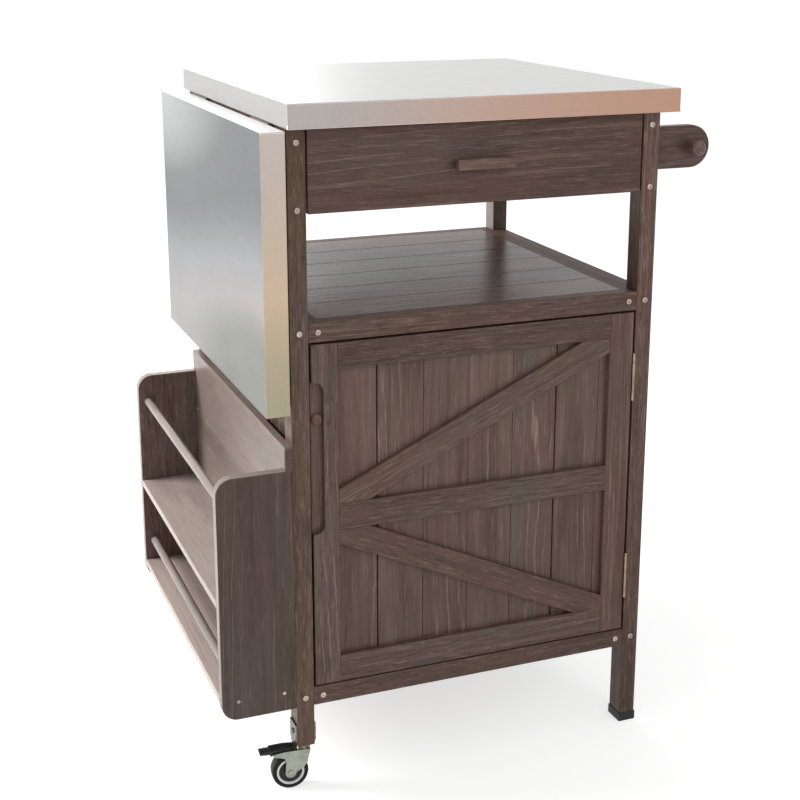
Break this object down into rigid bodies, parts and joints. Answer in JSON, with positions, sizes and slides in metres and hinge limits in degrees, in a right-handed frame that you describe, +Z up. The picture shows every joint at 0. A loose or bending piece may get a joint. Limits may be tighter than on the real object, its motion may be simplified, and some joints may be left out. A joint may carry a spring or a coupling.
{
  "type": "grill cart with storage",
  "caption": "Wooden grill cart with steel worktop, side drop leaf, drawer, open shelf, cabinet with braced door, side rack, towel handle and casters.",
  "frame": {"origin": "bottom centre of the bounding box, on the floor between the legs", "axes": "+X to the right as seen from the door, towards the towel handle; +Y to the back; +Z up"},
  "size_m": [0.697, 0.533, 0.92],
  "materials": {
    "stained_wood": "taupe brown stain, open grain, matt",
    "plain_wood": "plain softwood",
    "satin_steel": "satin stainless",
    "zinc_plated_steel": "zinc plated",
    "brassy_zinc": "yellow zinc plated",
    "black_plastic": "moulded, matt",
    "grey_plastic": "moulded, satin",
    "tyre_rubber": "matt rubber"
  },
  "bodies": {
    "cart": {"leg_front_left": "stained_wood", "leg_front_right": "stained_wood", "leg_rear_left": "stained_wood", "leg_rear_right": "stained_wood", "foot_caps": "black_plastic", "floor_rail_front": "stained_wood", "floor_rail_rear": "stained_wood", "shelf_rail_front": "stained_wood", "shelf_rail_rear": "stained_wood", "side_rails": "stained_wood", "deck_battens": "stained_wood", "floor_boards": "stained_wood", "shelf_boards": "stained_wood", "side_boards_left": "stained_wood", "side_boards_right": "stained_wood", "back_boards": "stained_wood", "top_side_rails": "stained_wood", "top_cross_rails": "stained_wood", "worktop_core": "plain_wood", "worktop_skin": "satin_steel", "leaf_hinge_frame_plates": "zinc_plated_steel", "drawer_runners": "zinc_plated_steel", "door_hinge_frame_plates": "brassy_zinc", "door_stop_cleat": "stained_wood", "door_catch_magnet": "black_plastic", "handle_arms": "stained_wood", "handle_bar": "stained_wood", "rack_side_front": "stained_wood", "rack_side_rear": "stained_wood", "rack_back": "stained_wood", "rack_shelves": "stained_wood", "rack_rods": "stained_wood", "caster_brackets": "zinc_plated_steel", "frame_screws": "zinc_plated_steel", "rack_screws": "zinc_plated_steel"},
    "leaf": {"leaf_core": "plain_wood", "leaf_skin": "satin_steel", "leaf_hinge_leaf_plates": "zinc_plated_steel"},
    "drawer": {"drawer_front": "stained_wood", "drawer_box": "plain_wood", "drawer_bottom": "plain_wood", "drawer_pull": "stained_wood", "drawer_slides": "zinc_plated_steel"},
    "door": {"door_boards": "stained_wood", "door_stile_left": "stained_wood", "door_stile_right": "stained_wood", "door_rails": "stained_wood", "door_brace_upper": "stained_wood", "door_brace_lower": "stained_wood", "door_knob": "stained_wood", "door_catch_plate": "zinc_plated_steel", "door_hinge_door_plates": "brassy_zinc"},
    "front_swivel": {"front_caster_fork": "zinc_plated_steel"},
    "front_wheel": {"front_caster_core": "grey_plastic", "front_caster_tyre": "tyre_rubber"},
    "front_brake": {"front_caster_brake": "black_plastic"},
    "rear_swivel": {"rear_caster_fork": "zinc_plated_steel"},
    "rear_wheel": {"rear_caster_core": "grey_plastic", "rear_caster_tyre": "tyre_rubber"},
    "rear_brake": {"rear_caster_brake": "black_plastic"}
  },
  "joints": [
    {"name": "leaf_hinge", "type": "hinge", "parent": "cart", "child": "leaf", "pos_m": [-0.253, 0, 0.8875], "axis": [0, 1, 0], "range_deg": [0, 90]},
    {"name": "door_hinge", "type": "hinge", "parent": "cart", "child": "door", "pos_m": [0.241, -0.2481, 0.384], "axis": [0, 0, 1], "range_deg": [0, 170]},
    {"name": "drawer_slide", "type": "slide", "parent": "cart", "child": "drawer", "axis": [0, -1, 0], "range_m": [0, 0.3]},
    {"name": "front_swivel_turn", "type": "hinge", "parent": "cart", "child": "front_swivel", "pos_m": [-0.2355, -0.2315, 0.0595], "axis": [0, 0, 1], "continuous": true},
    {"name": "front_wheel_roll", "type": "hinge", "parent": "front_swivel", "child": "front_wheel", "pos_m": [-0.25489, -0.22946, 0.025], "axis": [0.1045, 0.9945, 0], "continuous": true},
    {"name": "front_brake_press", "type": "hinge", "parent": "front_swivel", "child": "front_brake", "pos_m": [-0.26235, -0.22868, 0.0545], "axis": [-0.1045, -0.9945, 0], "range_deg": [0, 10]},
    {"name": "rear_swivel_turn", "type": "hinge", "parent": "cart", "child": "rear_swivel", "pos_m": [-0.2355, 0.2305, 0.0595], "axis": [0, 0, 1], "continuous": true},
    {"name": "rear_wheel_roll", "type": "hinge", "parent": "rear_swivel", "child": "rear_wheel", "pos_m": [-0.25489, 0.23254, 0.025], "axis": [0.1045, 0.9945, 0], "continuous": true},
    {"name": "rear_brake_press", "type": "hinge", "parent": "rear_swivel", "child": "rear_brake", "pos_m": [-0.26235, 0.23332, 0.0545], "axis": [-0.1045, -0.9945, 0], "range_deg": [0, 10]}
  ]
}
